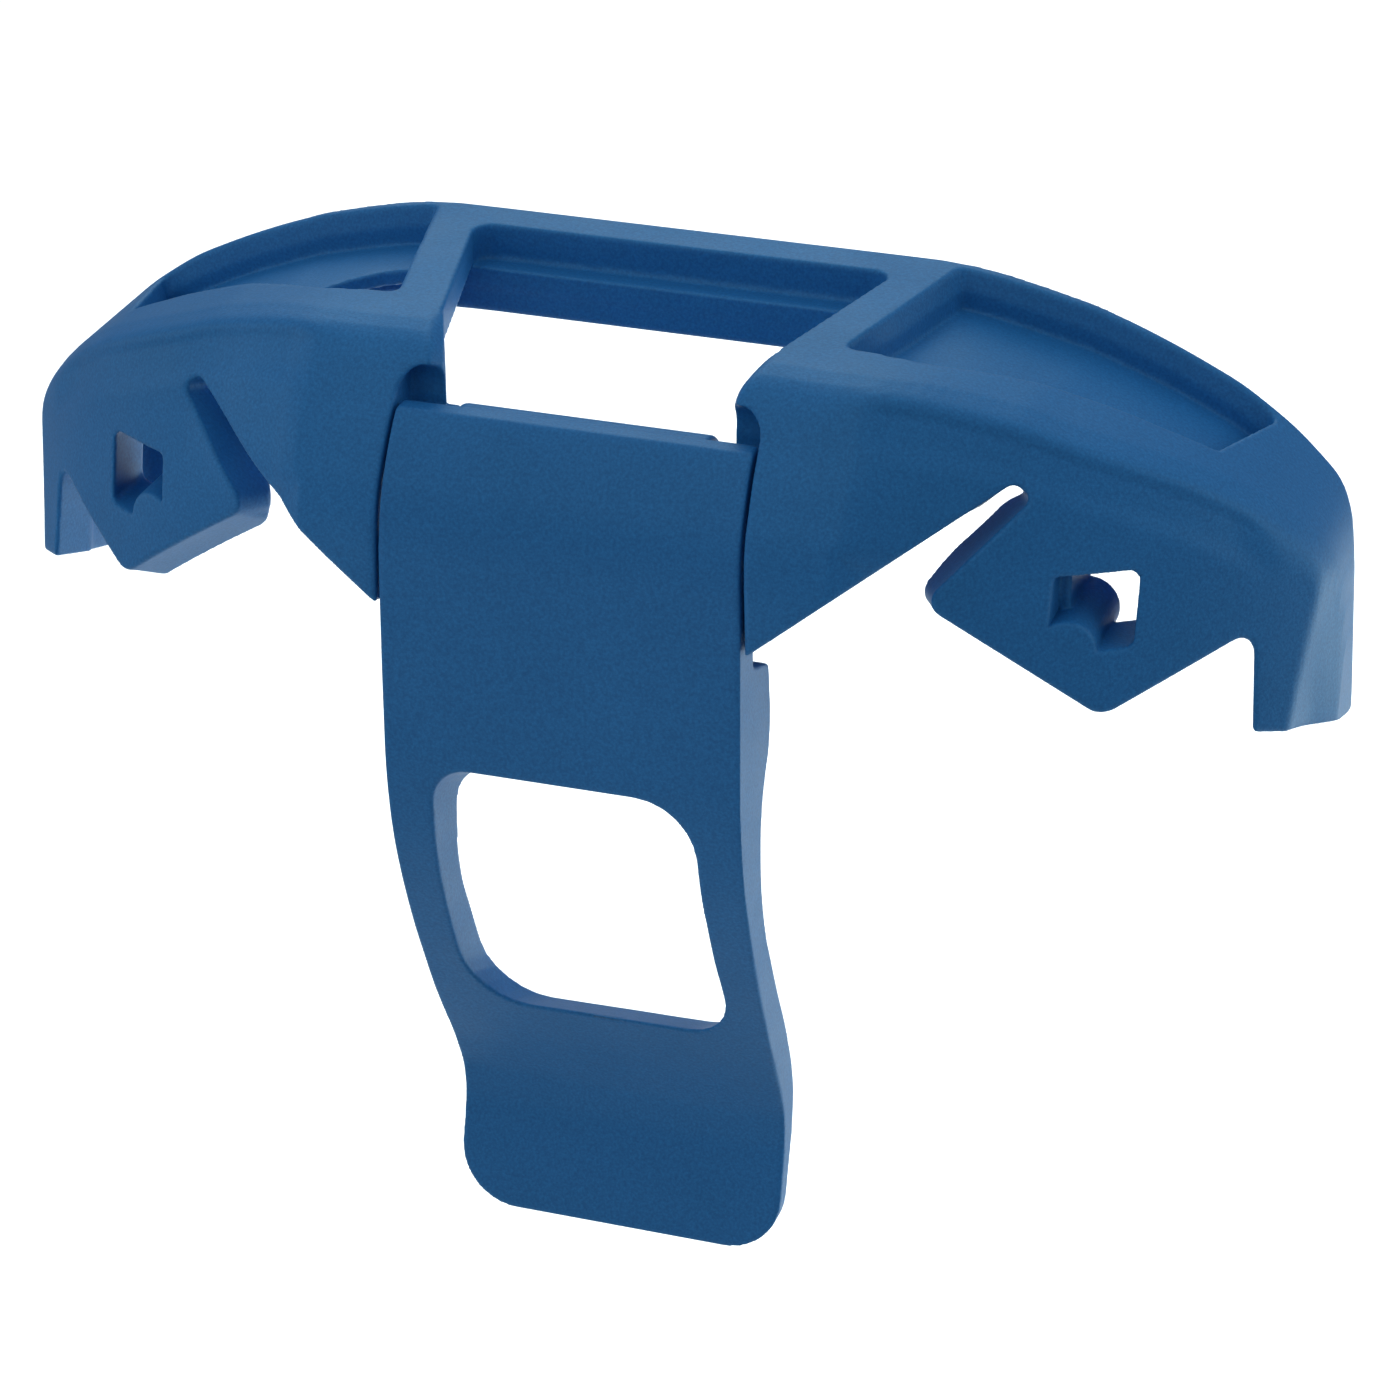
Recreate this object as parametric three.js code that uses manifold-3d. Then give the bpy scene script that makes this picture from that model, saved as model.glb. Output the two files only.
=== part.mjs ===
// Clip-on carrying handle with a hinged latch lever, one moulded arch, one moulded
// lever and one steel pin. Millimetres, +X to the handle's left-right width, +Y to
// the back (the grip bar), +Z up. Built around the foot of the gap between lever
// and wings, then moved so that the origin is the centre of the bounding box.
import * as THREE from 'three';
import { mergeVertices } from 'three/addons/utils/BufferGeometryUtils.js';
import Module from 'manifold-3d';

const wasm = await Module();
wasm.setup();

// ---------------------------------------------------------------- dimensions
const TOP_Z = 37.2;              // flat top land of the arch
const BACK_Y = 68.7, BACK_OUT = 3.3; // back face of the grip bar, and how far the ends stand behind it
const END_X = 111.4;             // half of the overall width
const GAP_HALF = 30.0;           // half width of the bay that the lever sits in
const EAR_IN_X = 23.3;           // inner faces of the two hinge ears
const EAR_FACE_Y = 15.6;         // recessed face above the lever's top edge
const HINGE_Y = 12.6, HINGE_Z = 19.0;
const PIN_R = 2.0, PIN_HALF = 28.4;
const PIN_BORE_R = 2.3;
const EAR_R = 5.4, KNUCKLE_R = 7.6, KNUCKLE_HALF = 20.4;
const FLOOR_DROP = 6.6, FLOOR_T = 2.6;   // pocket floors below the top, and their thickness
const GRIP_H = 13.7;             // height of the grip bar
const SKIN_T = 4.2, TAB_T = 11.6; // front plate, and its thicker tab, measured along Y
const OPEN_BACK_Y = 60.7, GRIP_FRONT_Y = 56.4;
const HOLE_POST_R = 4.8, POST_Y = 35.0;
const LEVER_HALF = 29.4, LEVER_SKIN = 3.0, LEVER_WALL = 3.0;

// height of the arch over its centre line, half profile
const ARCH = [[0, 37.2], [40, 37.2], [45, 36.9], [50, 36.1], [57, 34.4], [62.5, 32.8], [65.5, 31.9], [70.6, 29.9],
  [75.6, 27.9], [80.5, 25.8], [85.2, 23.6], [89.9, 21.2], [94.6, 18.1], [99, 14.8], [103, 11.1],
  [106.1, 7.8], [108.3, 4.6], [109.8, 1.0], [110.8, -3.5], [111.4, -10.0], [112.0, -18.0], [112.5, -40.0]];
// front face swept back towards the top: depth below the top, offset in Y
const DOME = [[0, 15.3], [3.6, 12.7], [6, 11.0], [9.3, 8.7], [11.9, 6.6], [14.6, 4.8], [17.5, 3.2],
  [20.4, 1.7], [23.5, 0.75], [27, 0.2], [31, 0]];
const SWEEP = [[0, 0], [12, -1.0], [30, -2.2], [37, -3.6], [43, -4.7], [46, -4.4], [49, -3.8], [52, -3.1], [55, -2.8], [58, -2.1], [61, -1.2], [65, -0.2], [68, 0]];
const DOME_GAIN = [[30, 1], [40, 0.82], [50, 0.5], [60, 0.27], [66, 0.17], [75, 0.08], [85, 0.03], [95, 0]];
// shallow hollow band under the top edge of the wings
const BAND = [[0, 0], [0.8, 0], [1.8, 0.5], [3.4, 1.3], [6, 0.9], [9.3, 0]];
const ROUND = [[0, 1], [0.25, 0.6], [0.8, 0.34], [1.8, 0.13], [3.2, 0.03], [4.2, 0]];

// ------------------------------------------------------------------- helpers
const lerpTable = (t, v) => {
  if (v <= t[0][0]) return t[0][1];
  for (let i = 1; i < t.length; i++) {
    if (v <= t[i][0]) {
      const k = (v - t[i - 1][0]) / (t[i][0] - t[i - 1][0]);
      return t[i - 1][1] + k * (t[i][1] - t[i - 1][1]);
    }
  }
  return t[t.length - 1][1];
};
const smooth = (a, b, v) => { const k = Math.min(1, Math.max(0, (v - a) / (b - a))); return k * k * (3 - 2 * k); };

const toSolid = (geometry) => {
  const g = geometry.index ? geometry.clone() : geometry.clone();
  for (const name of Object.keys(g.attributes)) if (name !== 'position') g.deleteAttribute(name);
  const m = mergeVertices(g, 1e-4);
  return new wasm.Manifold(new wasm.Mesh({
    numProp: 3,
    vertProperties: new Float32Array(m.attributes.position.array),
    triVerts: new Uint32Array(m.index.array),
  }));
};
const toMesh = (solid, name, material) => {
  const m = solid.getMesh();
  const g = new THREE.BufferGeometry();
  g.setAttribute('position', new THREE.BufferAttribute(new Float32Array(m.vertProperties), 3));
  g.setIndex(new THREE.BufferAttribute(new Uint32Array(m.triVerts), 1));
  g.computeVertexNormals();
  const mesh = new THREE.Mesh(g, material);
  mesh.name = name;
  return mesh;
};

// a polygon with rounded corners: [x, y, radius]
const rounded = (pts, seg = 5) => {
  const out = [];
  const n = pts.length;
  for (let i = 0; i < n; i++) {
    const p = pts[i], a = pts[(i + n - 1) % n], b = pts[(i + 1) % n];
    const r = p[2] || 0;
    if (!r) { out.push([p[0], p[1]]); continue; }
    const u = [a[0] - p[0], a[1] - p[1]], v = [b[0] - p[0], b[1] - p[1]];
    const lu = Math.hypot(...u), lv = Math.hypot(...v);
    const cos = (u[0] * v[0] + u[1] * v[1]) / (lu * lv);
    const half = Math.acos(Math.min(1, Math.max(-1, cos))) / 2;
    const d = Math.min(r / Math.tan(half), lu * 0.49, lv * 0.49);
    const rr = d * Math.tan(half);
    const p0 = [p[0] + u[0] / lu * d, p[1] + u[1] / lu * d];
    const p1 = [p[0] + v[0] / lv * d, p[1] + v[1] / lv * d];
    const bx = u[0] / lu + v[0] / lv, by = u[1] / lu + v[1] / lv, lb = Math.hypot(bx, by);
    const c = [p[0] + bx / lb * rr / Math.sin(half), p[1] + by / lb * rr / Math.sin(half)];
    let a0 = Math.atan2(p0[1] - c[1], p0[0] - c[0]), a1 = Math.atan2(p1[1] - c[1], p1[0] - c[0]);
    let da = a1 - a0;
    while (da > Math.PI) da -= 2 * Math.PI;
    while (da < -Math.PI) da += 2 * Math.PI;
    for (let k = 0; k <= seg; k++) out.push([c[0] + rr * Math.cos(a0 + da * k / seg), c[1] + rr * Math.sin(a0 + da * k / seg)]);
  }
  return out;
};
const extrude = (pts, depth) => {
  const shape = new THREE.Shape(pts.map((p) => new THREE.Vector2(p[0], p[1])));
  return new THREE.ExtrudeGeometry(shape, { depth, bevelEnabled: false, steps: 1 });
};
// outline in X and Z, pushed along Y from y0 to y1, with an optional slant per mm of Y
const prismXZ = (pts, y0, y1, slantX = 0, slantZ = 0) => {
  const g = extrude(pts, y1 - y0);
  const p = g.attributes.position;
  for (let i = 0; i < p.count; i++) {
    const x = p.getX(i), z = p.getY(i), y = y0 + p.getZ(i);
    p.setXYZ(i, x + slantX * y, y, z + slantZ * y);
  }
  const idx = new Uint32Array(p.count);
  for (let i = 0; i < p.count; i += 3) { idx[i] = i; idx[i + 1] = i + 2; idx[i + 2] = i + 1; }
  g.setIndex(new THREE.BufferAttribute(idx, 1));
  return toSolid(g);
};
// outline in X and Y, pushed up from z0 to z1
const prismXY = (pts, z0, z1) => {
  const g = extrude(pts, z1 - z0);
  g.translate(0, 0, z0);
  return toSolid(g);
};
// outline in Y and Z, pushed along X from x0 to x1
const prismYZ = (pts, x0, x1) => {
  const g = extrude(pts, x1 - x0);
  const p = g.attributes.position;
  for (let i = 0; i < p.count; i++) { const y = p.getX(i), z = p.getY(i), x = x0 + p.getZ(i); p.setXYZ(i, x, y, z); }
  return toSolid(g);
};
const rodX = (r, x0, x1, y, z, seg = 24) => {
  const g = new THREE.CylinderGeometry(r, r, x1 - x0, seg);
  g.rotateZ(Math.PI / 2);
  g.translate((x0 + x1) / 2, y, z);
  return toSolid(g);
};
const rodY = (r, y0, y1, x, z, seg = 24) => {
  const g = new THREE.CylinderGeometry(r, r, y1 - y0, seg);
  g.translate(x, (y0 + y1) / 2, z);
  return toSolid(g);
};
const box = (x0, y0, z0, x1, y1, z1) => {
  const g = new THREE.BoxGeometry(x1 - x0, y1 - y0, z1 - z0);
  g.translate((x0 + x1) / 2, (y0 + y1) / 2, (z0 + z1) / 2);
  return toSolid(g);
};
// a box of the given grid whose vertices are moved by fn(u, v, w), each 0 to 1
const bentBox = (nx, ny, nz, fn) => {
  const g = new THREE.BoxGeometry(1, 1, 1, nx, ny, nz);
  const p = g.attributes.position;
  for (let i = 0; i < p.count; i++) {
    const q = fn(p.getX(i) + 0.5, p.getY(i) + 0.5, p.getZ(i) + 0.5);
    p.setXYZ(i, q[0], q[1], q[2]);
  }
  return toSolid(g);
};
const mirrorX = (pts) => pts.map((p) => [-p[0], ...p.slice(1)]).reverse();

// ------------------------------------------------------------ handle surfaces
const archZ = (x) => lerpTable(ARCH, Math.abs(x));
const frontY = (x, z) => {
  const a = Math.min(Math.abs(x), 112), q = a / 100;
  const near = Math.max(smooth(6, 15, z), 1 - smooth(44, 52, a));
  const base = 20.8 * q * q + 14.6 * q ** 4 + lerpTable(SWEEP, a) * near;
  const lean = 0.2 * smooth(30, 60, a);
  const d = Math.max(0, archZ(a) - z);
  const gain = a < 30 ? 1 : lerpTable(DOME_GAIN, a);
  const roll = 4.7 + 2.3 * smooth(30, 60, a);
  const zz = Math.max(z, -34);
  return Math.max(0, base) + lean * zz + gain * lerpTable(DOME, d) + roll * lerpTable(ROUND, d) * (1 - 0.25 * smooth(98, 108, a))
    + lerpTable(BAND, d) * smooth(38, 50, a) * (1 - smooth(96, 104, a));
};

// --------------------------------------------------------------- handle body
// 1. everything behind the front face and below the arch
const XS = [];
for (let i = 0; i <= 44; i++) { const t = i / 44 * 2 - 1; XS.push(Math.sign(t) * Math.pow(Math.abs(t), 0.85) * 112.5); }
const xAt = (u) => XS[Math.round(u * 44)];
const DS = [0, 0.25, 0.8, 1.8, 3.4, 6, 9.3, 13, 17, 21, 26, 34, 46, 78];
const outer = bentBox(44, 1, DS.length - 1, (u, v, w) => {
  const x = xAt(u);
  const d = DS[DS.length - 1 - Math.round(w * (DS.length - 1))];
  const z = archZ(x) - d;
  return [x, v < 0.5 ? frontY(x, z) : 90, z];
});
// 2. plan outline: straight back, tight back corners, short end walls
const backY = (x) => BACK_Y + BACK_OUT * smooth(40, 85, Math.abs(x));
const planHalf = [0, 40, 48, 54, 60, 66, 72, 78, 85, 104.5].map((x) => [x, backY(x)]).concat([[107, 71.7], [109.2, 70.6],
  [110.6, 68.6], [111.6, 65.5], [112.2, 62], [112.3, 57], [111.8, 53.8], [111.0, 51], [109.8, 47.7], [108.8, 44.5], [107.7, 40], [106.8, 34], [106.0, 28], [105.2, 20], [105, -4], [0, -4]]);
const plan = planHalf.concat(mirrorX(planHalf).slice(1, -1));
// the end walls flare a little towards the feet
const planGeometry = extrude(plan, 120);
planGeometry.translate(0, 0, -60);
const planPos = planGeometry.attributes.position;
for (let i = 0; i < planPos.count; i++) {
  const x = planPos.getX(i);
  planPos.setX(i, x - Math.sign(x) * 0.03 * (planPos.getZ(i) + 28) * smooth(100, 108, Math.abs(x)));
}
const shell = outer.intersect(toSolid(planGeometry));
let body = shell;

// 3. hollow underneath: behind the front plate, under the floors, inside the end walls
const hollow = bentBox(44, 1, 8, (u, v, w) => {
  const k = Math.round(u * 44) / 44 * 2 - 1;
  const x = k * 100.6;
  const a = Math.abs(x);
  const top = archZ(a) - FLOOR_DROP - FLOOR_T;
  const z = -60 + (top + 60) * [0, 0.3, 0.48, 0.6, 0.7, 0.8, 0.88, 0.95, 1][Math.round(w * 8)];
  const thick = SKIN_T + (TAB_T - SKIN_T) * smooth(50, 58, a) * (1 - smooth(16, 22, z));
  const yFront = Math.max(frontY(x, z) + thick, a < 34 ? 25 : 0);
  const yBack = a < 42 ? GRIP_FRONT_Y : GRIP_FRONT_Y + 6.0 * smooth(42, 52, a) + BACK_OUT * smooth(52, 85, a);
  return [x, v < 0.5 ? Math.min(yFront, yBack - 1) : yBack, z];
});
body = body.subtract(hollow);

// 4. lower edge of the grip bar and back wall follows the arch
const underGrip = [];
for (let i = 0; i <= 30; i++) { const x = -95.4 + 190.8 * i / 30; underGrip.push([x, archZ(x) - GRIP_H]); }
underGrip.push([95.4, -60], [-95.4, -60]);
body = body.subtract(prismXZ(underGrip.slice().reverse(), 44, 90));

// 5. centre opening and the two top pockets
const opening = rounded([[-27.2, 24.6, 0], [27.2, 24.6, 0], [35.6, OPEN_BACK_Y, 3], [-35.6, OPEN_BACK_Y, 3]], 5);
body = body.subtract(prismXY(opening, TOP_Z - 6.0, 60));
const through = [[-26, 22], [26, 22], [38.5, 40], [40.5, GRIP_FRONT_Y], [-40.5, GRIP_FRONT_Y], [-38.5, 40]];
body = body.subtract(prismXY(through, -60, TOP_Z - 5.9));
const pocket = [[36.6, 29.2, 1.6], [44.4, 66.6, 1.4], [54, 67.1], [60, 67.8], [66, 68.6], [72, 69.2], [80, 69.7], [96.6, 69.8, 2.2], [91.4, 46.4, 2.2], [87, 44.6], [82.7, 43.0], [78.5, 41.9],
  [74, 40.4], [69.5, 38.9], [65, 37.1], [60.5, 35.0], [56, 32.7], [52, 30.4], [48.5, 29.2], [44, 28.8]];
const pocketSolid = (pts, side) => {
  const xs = pts.map((p) => p[0]);
  const x0 = 36, x1 = 97;
  const slab = bentBox(24, 1, 1, (u, v, w) => {
    const x = x0 + (x1 - x0) * Math.round(u * 24) / 24;
    return [side * x, v < 0.5 ? 20 : 74, w < 0.5 ? archZ(x) - FLOOR_DROP : 60];
  });
  const flipped = side < 0 ? bentBox(24, 1, 1, (u, v, w) => {
    const x = -x1 + (x1 - x0) * Math.round(u * 24) / 24;
    return [x, v < 0.5 ? 20 : 74, w < 0.5 ? archZ(x) - FLOOR_DROP : 60];
  }) : slab;
  return prismXY(pts, 0, 62).intersect(flipped);
};
const pocketPts = rounded(pocket, 4);
body = body.subtract(pocketSolid(pocketPts, 1));
body = body.subtract(pocketSolid(mirrorX(pocketPts), -1));
// the left pocket is open through its floor at the inner front corner
body = body.subtract(prismXY(rounded([[-58.5, 36.5, 1], [-39.2, 31.5, 2], [-41.8, 54.6, 2], [-49, 53.0], [-54, 50.6], [-58.5, 47.4, 1]], 4), 15, 60));

// 6. bay for the lever between the wings, and the ears' recessed faces
const bay = [[-GAP_HALF, -10], [GAP_HALF, -10], [GAP_HALF, EAR_FACE_Y], [EAR_IN_X, EAR_FACE_Y], [EAR_IN_X, 28], [-EAR_IN_X, 28], [-EAR_IN_X, EAR_FACE_Y], [-GAP_HALF, EAR_FACE_Y]];
const bayGeometry = extrude(bay, 88.6);
bayGeometry.translate(0, 0, -60);
const bayPos = bayGeometry.attributes.position;      // the bay narrows a little towards the top
for (let i = 0; i < bayPos.count; i++) {
  const x = bayPos.getX(i);
  if (Math.abs(x) > EAR_IN_X + 1) bayPos.setX(i, x - Math.sign(x) * 0.025 * bayPos.getZ(i));
}
body = body.subtract(toSolid(bayGeometry));
// the recess runs out upwards in a wide hollow fillet
const runOut = [[-10, 28.5], [EAR_FACE_Y, 28.5]];
for (let k = 0; k <= 6; k++) { const t = Math.PI / 2 * k / 6; runOut.push([EAR_FACE_Y - 4.2 + 4.2 * Math.cos(t), 28.6 + 4.2 * Math.sin(t)]); }
runOut.push([-10, 32.8]);
body = body.subtract(prismYZ(runOut, -GAP_HALF + 0.75, GAP_HALF - 0.75));
// the cheeks lean out above the recess, up to the opening
const cheek = [[23.3, 22.6], [23.3, 31.2], [24.4, 31.9], [24.6, 33.5], [25.1, 34.8], [25.9, 36.0], [27.2, 37.2], [27.2, 60]];
body = body.subtract(prismXZ(cheek.concat(mirrorX(cheek)), -10, 25));
body = body.subtract(box(-EAR_IN_X, 8, -60, EAR_IN_X, GRIP_FRONT_Y, 31.2));

// 7. hinge ears: round bosses on the cheeks, joined to the recessed face
const earProfile = [];
for (let k = 0; k <= 16; k++) { const a = Math.PI * (0.42 + 1.3 * k / 16); earProfile.push([HINGE_Y + EAR_R * Math.cos(a), HINGE_Z + EAR_R * Math.sin(a)]); }
earProfile.push([EAR_FACE_Y + 4.5, HINGE_Z - 6.5], [EAR_FACE_Y + 4.5, 28], [EAR_FACE_Y, 28], [EAR_FACE_Y, HINGE_Z + 5.6]);
for (const s of [-1, 1]) {
  const x0 = s > 0 ? EAR_IN_X : -GAP_HALF - 1.2, x1 = s > 0 ? GAP_HALF + 1.2 : -EAR_IN_X;
  body = body.add(prismYZ(earProfile, x0, x1));
}
body = body.subtract(prismXY([[-EAR_IN_X, 8], [EAR_IN_X, 8], [EAR_IN_X, EAR_FACE_Y], [27.3, 25.0], [-27.3, 25.0], [-EAR_IN_X, EAR_FACE_Y]], 22.6, 60));
// 8. underside trimmed to wings, slots, tabs, notches and feet
const SIGHT = [0.29, 0.5];        // edges are straight when seen along this slope
const along = (pts, sx, sz) => {
  const out = [];
  for (let i = 0; i < pts.length; i++) {
    const [p, q] = [pts[i], pts[(i + 1) % pts.length]].map(([x, z]) => { const y = frontY(x, z); return [x + SIGHT[0] * y, z + SIGHT[1] * y]; });
    const n = Math.max(1, Math.ceil(Math.hypot(q[0] - p[0], q[1] - p[1]) / 4));
    for (let k = 0; k < n; k++) {
      const u = p[0] + (q[0] - p[0]) * k / n, w = p[1] + (q[1] - p[1]) * k / n;
      let y = 10;
      for (let j = 0; j < 40; j++) y = 0.4 * y + 0.6 * frontY(u - SIGHT[0] * y, w - SIGHT[1] * y);
      out.push([u - SIGHT[0] * y + sx * y, w - SIGHT[1] * y + sz * y]);
    }
  }
  return out;
};
const TAB_CUT = rounded([[66.4, 23.5, 1.6], [69.9, 21.1, 1.6], [55.5, 6.0, 2.6], [81.6, -13.1, 3.2], [101.6, -3.0, 3.6], [102.2, -22, 0], [102.2, -64, 0], [54, -64, 0], [12, -64, 0], [12, -3.4, 0], [29.4, -3.4, 0]], 4);
const tabCuts = [1, -1].map((s) => {
  const side = (pts) => (s > 0 ? pts : mirrorX(pts)).slice().reverse();
  return prismXZ(side(along(TAB_CUT, 0.5, 0.23)), -6, 50, -s * 0.5, -0.23)
    .intersect(prismXZ(side(along(TAB_CUT, 0.25, 0.52)), -6, 50, -s * 0.25, -0.52));
});
for (const c of tabCuts) body = body.subtract(c);
// 9. slanted undersides of the feet
const footCut = [[30, -19.5], [80, -35.5], [80, -70], [30, -70]];
body = body.subtract(prismYZ(footCut, 90, 120)).subtract(prismYZ(footCut, -120, -90));
// 10. square hole with a round post in its inner lower corner, in each tab
const hole = rounded([[73.2, -3.0, 0.6], [84.9, -3.2, 1.2], [85.0, 8.8, 1.8], [73.3, 9.0, 0.8]], 3);
for (const s of [1, -1]) {
  const h = prismXZ((s > 0 ? hole : mirrorX(hole)).slice().reverse(), 2, 60);
  body = body.subtract(h);
  const x0 = s > 0 ? 70.4 : -75.0, x1 = s > 0 ? 75.0 : -70.4;
  body = body.add(rodY(HOLE_POST_R, 4, POST_Y, s * 75.2, -2.9, 20).add(box(x0, 22.0, -4.0, x1, POST_Y, 10.0)).intersect(shell).subtract(tabCuts[s > 0 ? 0 : 1]));
}
// 11. pin bore through ears
body = body.subtract(rodX(PIN_BORE_R, -PIN_HALF - 0.4, PIN_HALF + 0.4, HINGE_Y, HINGE_Z));

// -------------------------------------------------------------- latch lever
const FRONT = [[8.2, 27.2], [6.6, 25.3], [4.8, 22.6], [3.2, 19.7], [1.8, 16.8], [0.8, 13.7], [0.25, 10.3], [0, 6.5], [0, -27.5],
  [0.4, -33.2], [1.1, -39.1], [2.3, -45.1], [4.3, -51.9], [6.8, -58.9], [9.7, -66], [13.1, -73.4], [16.8, -81.1], [20.8, -88.9],
  [24.6, -96.5], [26.7, -102.5], [27.0, -107.5], [26.5, -111.5], [23.8, -127.5]];
const BACK = [[27.0, -127.5], [30.1, -114.5], [31.8, -106], [32.0, -100], [30.7, -93.7], [26.8, -84.5], [21.9, -75], [17.2, -65.3], [13.3, -56.5],
  [11.3, -48], [10.8, -41], [11.6, -34], [13.2, -29.4], [14.8, -25.7], [15.5, -20.4], [15.1, -14.6], [14.6, -11.2], [6.9, -7.4], [6.8, -3.4], [3.0, -1.0],
  [3.0, 6.5], [3.3, 10.6], [3.9, 13.4], [4.8, 16.0], [6.1, 18.6], [7.6, 21.2], [9.3, 23.8], [11.1, 26.3]];
let lever = prismYZ(FRONT.concat(BACK).reverse(), -LEVER_HALF, LEVER_HALF);
// outline in X and Z: parallel at the top, a little narrower below, round lip corners
const outline = rounded([[-28.5, 40, 0], [-LEVER_HALF, 0, 0], [-30.0, -40, 0], [-29.6, -80, 0], [-28.6, -106, 0], [-29.0, -127.5, 11],
  [28.5, -127.5, 18], [28.4, -108, 0], [29.0, -80, 0], [29.6, -40, 0], [LEVER_HALF, 0, 0], [28.5, 40, 0]], 7);
lever = lever.intersect(prismXZ(outline.slice().reverse(), -10, 60));
// hollow back between side walls, round the finger hole too
const innerFront = FRONT.slice(8, 20).map((p, i, a) => {
  const q = a[Math.min(i + 1, a.length - 1)], o = a[Math.max(i - 1, 0)];
  const dy = q[0] - o[0], dz = q[1] - o[1], l = Math.hypot(dy, dz);
  return [p[0] - dz / l * LEVER_SKIN, p[1] + dy / l * LEVER_SKIN];
});
const FINGER = rounded([[-21.6, -30.2, 6.5], [21.6, -30.0, 15], [21.9, -50, 8], [22.4, -73.9, 8.0], [-23.6, -74.9, 9.5], [-22.8, -50, 9]], 6);
const fingerWall = rounded([[-24.6, -26.8, 10], [25.1, -26.6, 12], [25.3, -50, 9], [25.9, -76.2, 7], [-26.6, -76.4, 12], [-26.2, -50, 9]], 6);
const HOLE_SLANT = -0.42;
const coreTop = [[3.0, -13.5]].concat(innerFront.filter((p) => p[1] < -13.5), [[60, innerFront[innerFront.length - 1][1]], [60, -13.5]]);
let core = prismYZ(coreTop.reverse(), -LEVER_HALF + LEVER_WALL, LEVER_HALF - LEVER_WALL);
core = core.intersect(prismXZ(rounded([[-26.4, -11, 2], [-25.2, -94.5, 5], [25.2, -94.5, 5], [26.4, -11, 2]], 4).reverse(), -10, 70));
core = core.subtract(prismXZ(fingerWall.slice().reverse(), -10, 70, 0, HOLE_SLANT));
lever = lever.subtract(core);
lever = lever.subtract(prismXZ(FINGER.slice().reverse(), -10, 70, 0.04, HOLE_SLANT));
// knuckle behind the top edge
const knuckle = [];
for (let k = 0; k <= 20; k++) { const a = Math.PI * (0.62 - 1.22 * k / 20); knuckle.push([HINGE_Y + KNUCKLE_R * Math.cos(a), HINGE_Z + KNUCKLE_R * Math.sin(a)]); }
knuckle.push([2.2, 8.0], [2.2, 16.0], [8.4, 26.0], [8.8, 26.7], [10.4, 26.5]);
// side walls carried up behind the gap
for (const s of [-1, 1]) {
  const x0 = s > 0 ? 26.4 : -29.1, x1 = s > 0 ? 29.1 : -26.4;
  lever = lever.add(box(x0, 1.5, -5.0, x1, 6.8, 6.0));
}
lever = lever.add(prismYZ(knuckle.slice().reverse(), -KNUCKLE_HALF, KNUCKLE_HALF));
lever = lever.subtract(rodX(PIN_BORE_R, -KNUCKLE_HALF - 1, KNUCKLE_HALF + 1, HINGE_Y, HINGE_Z));

// ---------------------------------------------------------------------- pin
const pin = rodX(PIN_R, -PIN_HALF, PIN_HALF, HINGE_Y, HINGE_Z, 28);

// ------------------------------------------------------------------ assembly
const blue = new THREE.MeshStandardMaterial({ color: 0x23528c, roughness: 0.62, metalness: 0 });
const blueLever = new THREE.MeshStandardMaterial({ color: 0x22508a, roughness: 0.6, metalness: 0 });
const steel = new THREE.MeshStandardMaterial({ color: 0xb8bcc0, roughness: 0.3, metalness: 1 });

const group = new THREE.Group();
group.add(toMesh(body, 'handle_body', blue));
group.add(toMesh(lever, 'latch_lever', blueLever));
group.add(toMesh(pin, 'hinge_pin', steel));
const bounds = new THREE.Box3().setFromObject(group);
const centre = bounds.getCenter(new THREE.Vector3());
group.position.set(-centre.x, -centre.y, -centre.z);
group.updateMatrixWorld(true);

export default group;
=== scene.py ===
import bpy
import math
import numpy as np
from mathutils import Matrix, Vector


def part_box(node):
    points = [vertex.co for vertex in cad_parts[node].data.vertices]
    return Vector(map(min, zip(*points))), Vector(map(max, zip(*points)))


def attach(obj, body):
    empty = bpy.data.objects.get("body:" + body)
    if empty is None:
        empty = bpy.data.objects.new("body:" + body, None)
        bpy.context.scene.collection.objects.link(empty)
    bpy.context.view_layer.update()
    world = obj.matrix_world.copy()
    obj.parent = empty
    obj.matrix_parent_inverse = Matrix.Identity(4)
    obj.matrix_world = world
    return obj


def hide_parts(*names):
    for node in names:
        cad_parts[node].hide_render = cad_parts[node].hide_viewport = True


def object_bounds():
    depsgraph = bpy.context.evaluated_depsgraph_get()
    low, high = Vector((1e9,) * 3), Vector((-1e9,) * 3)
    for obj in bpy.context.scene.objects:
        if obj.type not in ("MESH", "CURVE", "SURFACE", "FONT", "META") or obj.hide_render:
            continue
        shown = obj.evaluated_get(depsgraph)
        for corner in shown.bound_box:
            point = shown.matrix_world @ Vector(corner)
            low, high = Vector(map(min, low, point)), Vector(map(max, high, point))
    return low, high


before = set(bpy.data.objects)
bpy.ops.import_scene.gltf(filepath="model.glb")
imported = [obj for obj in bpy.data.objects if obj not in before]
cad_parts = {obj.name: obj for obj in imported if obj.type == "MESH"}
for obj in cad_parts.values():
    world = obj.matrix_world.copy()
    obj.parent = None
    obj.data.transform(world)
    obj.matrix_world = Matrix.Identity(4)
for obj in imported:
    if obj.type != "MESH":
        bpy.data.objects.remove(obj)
size_start = [[float(c) for c in v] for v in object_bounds()]

CELL_BODY = 0.5      # mm, grid the moulded shapes are meshed on
CELL_LEVER = 0.45

# ------------------------------------------------------------------ where the fit frame sits
body_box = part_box("handle_body")
lever_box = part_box("latch_lever")
pin_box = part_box("hinge_pin")
OFF = np.array([0.0, body_box[1][1] * 1000 - 72.0, body_box[1][2] * 1000 - 37.2])

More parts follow.
